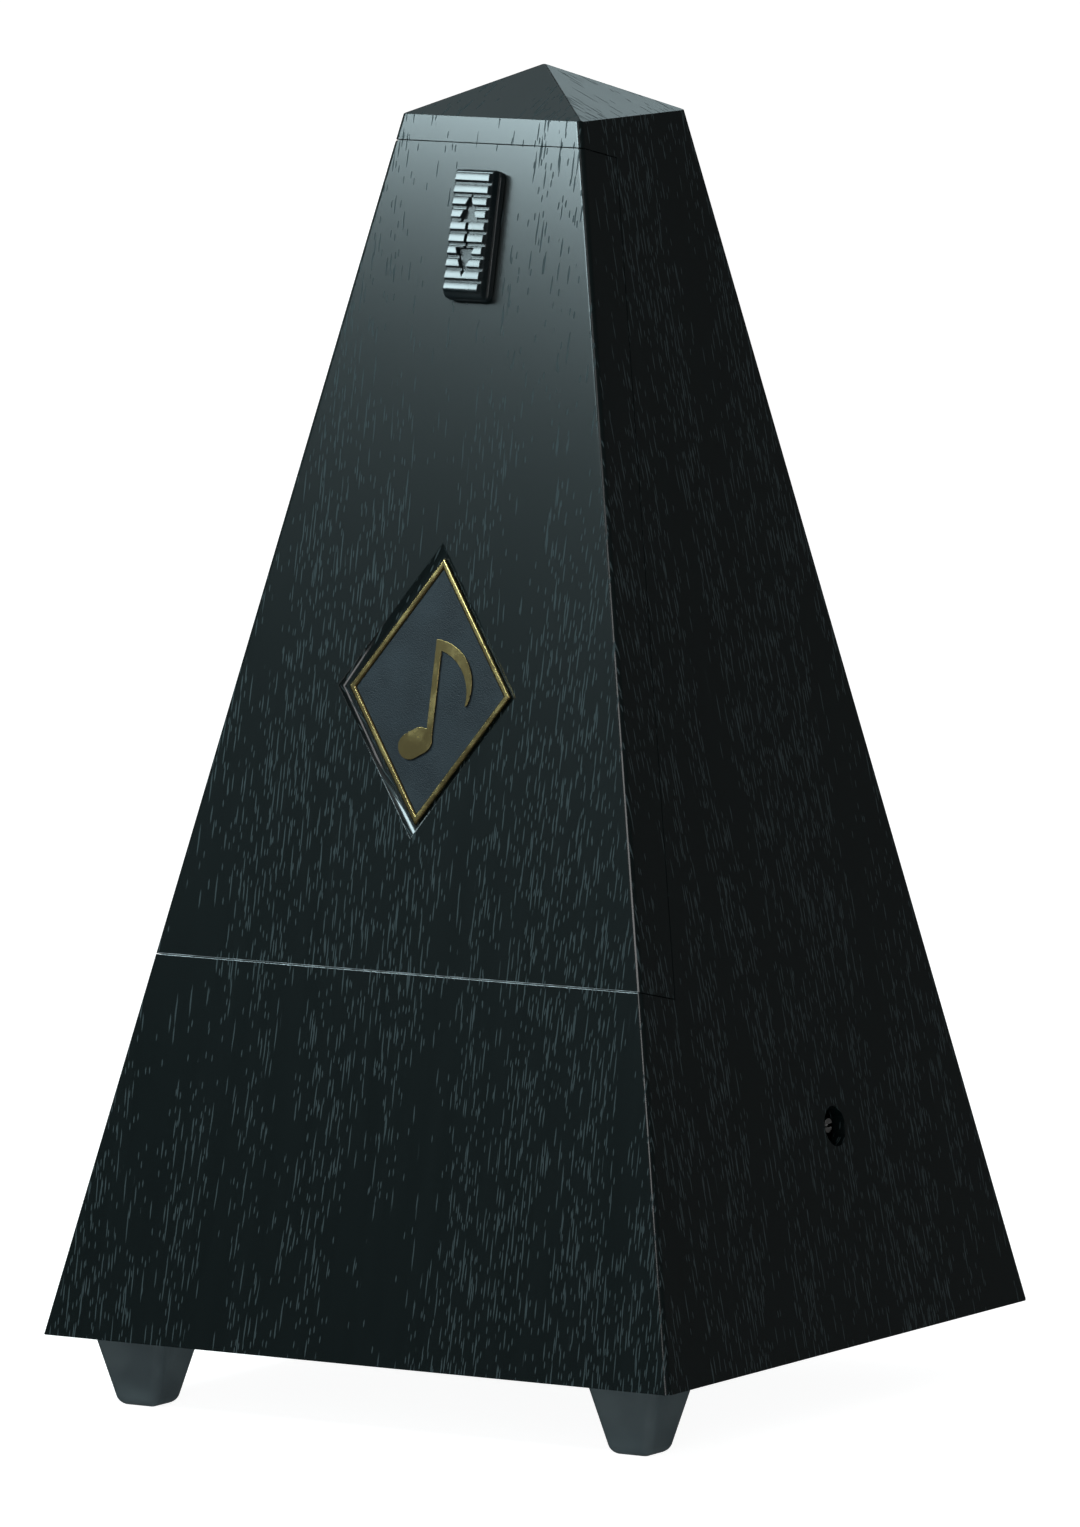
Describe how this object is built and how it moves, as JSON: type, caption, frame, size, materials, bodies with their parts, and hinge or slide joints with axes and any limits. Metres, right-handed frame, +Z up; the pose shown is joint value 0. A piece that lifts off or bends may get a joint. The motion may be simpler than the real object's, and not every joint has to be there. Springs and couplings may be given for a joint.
{
  "type": "metronome",
  "caption": "Clockwork pyramid metronome with a removable front cover, sliding latch, swinging pendulum with tempo weight, and a side-wound spring movement.",
  "frame": {"origin": "on the ground under the middle of the case", "axes": "+Z up, front cover towards -Y, winding keyhole towards +X"},
  "size_m": [0.118, 0.118, 0.2179],
  "materials": {
    "ebony_plastic": "semi-gloss moulded ebony grain",
    "foot_plastic": "satin",
    "slider_plastic": "satin",
    "carrier_plastic": "matte",
    "scale_metal": "printed satin",
    "badge_enamel": "fine textured enamel",
    "badge_gilt": "satin gilt",
    "blued_steel": "blued spring steel",
    "steel": "bright",
    "brass": "satin",
    "cast_iron": "as cast, blackened"
  },
  "bodies": {
    "case": {"case_shell": "ebony_plastic", "base_plate": "foot_plastic", "base_screws": "steel", "foot_front_left": "foot_plastic", "foot_front_right": "foot_plastic", "foot_rear": "foot_plastic", "scale_carrier": "carrier_plastic", "carrier_screws": "steel", "tempo_scale": "scale_metal", "scale_screws": "steel", "pendulum_clip": "steel", "movement_plate_left": "brass", "movement_plate_right": "brass", "pillars": "brass", "pillar_screws": "steel", "movement_screws": "steel", "front_bridge": "brass", "rear_bridge": "brass", "escape_bridge": "brass", "bridge_screws": "steel", "click_screws": "steel", "click_spring": "blued_steel"},
    "cover": {"front_cover": "ebony_plastic", "badge_field": "badge_enamel", "badge_rim": "badge_gilt", "badge_emblem": "badge_gilt"},
    "latch": {"latch_slider": "slider_plastic", "latch_tongue": "steel", "latch_screw": "steel"},
    "pendulum": {"pendulum_rod": "steel", "pendulum_hub": "brass", "pendulum_bob": "cast_iron", "verge_arbor": "steel", "verge_pallets": "steel"},
    "tempo_weight": {"tempo_weight": "steel", "weight_spring": "brass"},
    "winding": {"winding_arbor": "steel", "ratchet_wheel": "steel"},
    "click": {"click": "steel"},
    "barrel": {"barrel": "brass", "great_wheel": "brass", "barrel_cap": "brass", "mainspring": "blued_steel"},
    "second_arbor": {"second_arbor": "steel", "second_wheel": "brass"},
    "escape_arbor": {"escape_arbor": "steel", "crown_wheel": "brass"}
  },
  "joints": [
    {"name": "cover_removal", "type": "slide", "parent": "case", "child": "cover", "axis": [0, -0.9781, 0.2082], "range_m": [0, 0.06]},
    {"name": "latch_slide", "type": "slide", "parent": "cover", "child": "latch", "axis": [0, 0.2082, 0.9781], "range_m": [0, 0.003]},
    {"name": "pendulum_swing", "type": "hinge", "parent": "case", "child": "pendulum", "pos_m": [0, -0.04289, 0.06174], "axis": [0, -0.9781, 0.2082], "range_deg": [-6, 6]},
    {"name": "weight_slide", "type": "slide", "parent": "pendulum", "child": "tempo_weight", "axis": [0, 0.2082, 0.9781], "range_m": [-0.046, 0.022]},
    {"name": "winding_turn", "type": "hinge", "parent": "case", "child": "winding", "pos_m": [0, 0.0069, 0.0467], "axis": [1, 0, 0], "continuous": true},
    {"name": "click_lift", "type": "hinge", "parent": "case", "child": "click", "pos_m": [0.026, 0.0193, 0.0529], "axis": [1, 0, 0], "range_deg": [-8, 0]},
    {"name": "barrel_turn", "type": "hinge", "parent": "case", "child": "barrel", "pos_m": [0, 0.0069, 0.0467], "axis": [1, 0, 0], "continuous": true},
    {"name": "second_turn", "type": "hinge", "parent": "case", "child": "second_arbor", "pos_m": [0, -0.02172, 0.03998], "axis": [1, 0, 0], "continuous": true},
    {"name": "escape_turn", "type": "hinge", "parent": "case", "child": "escape_arbor", "pos_m": [0, -0.02274, 0.05745], "axis": [1, 0, 0], "continuous": true}
  ],
  "couplings": [
    {"joint": "second_turn", "follows": "barrel_turn", "ratio": -6},
    {"joint": "escape_turn", "follows": "barrel_turn", "ratio": 36}
  ]
}
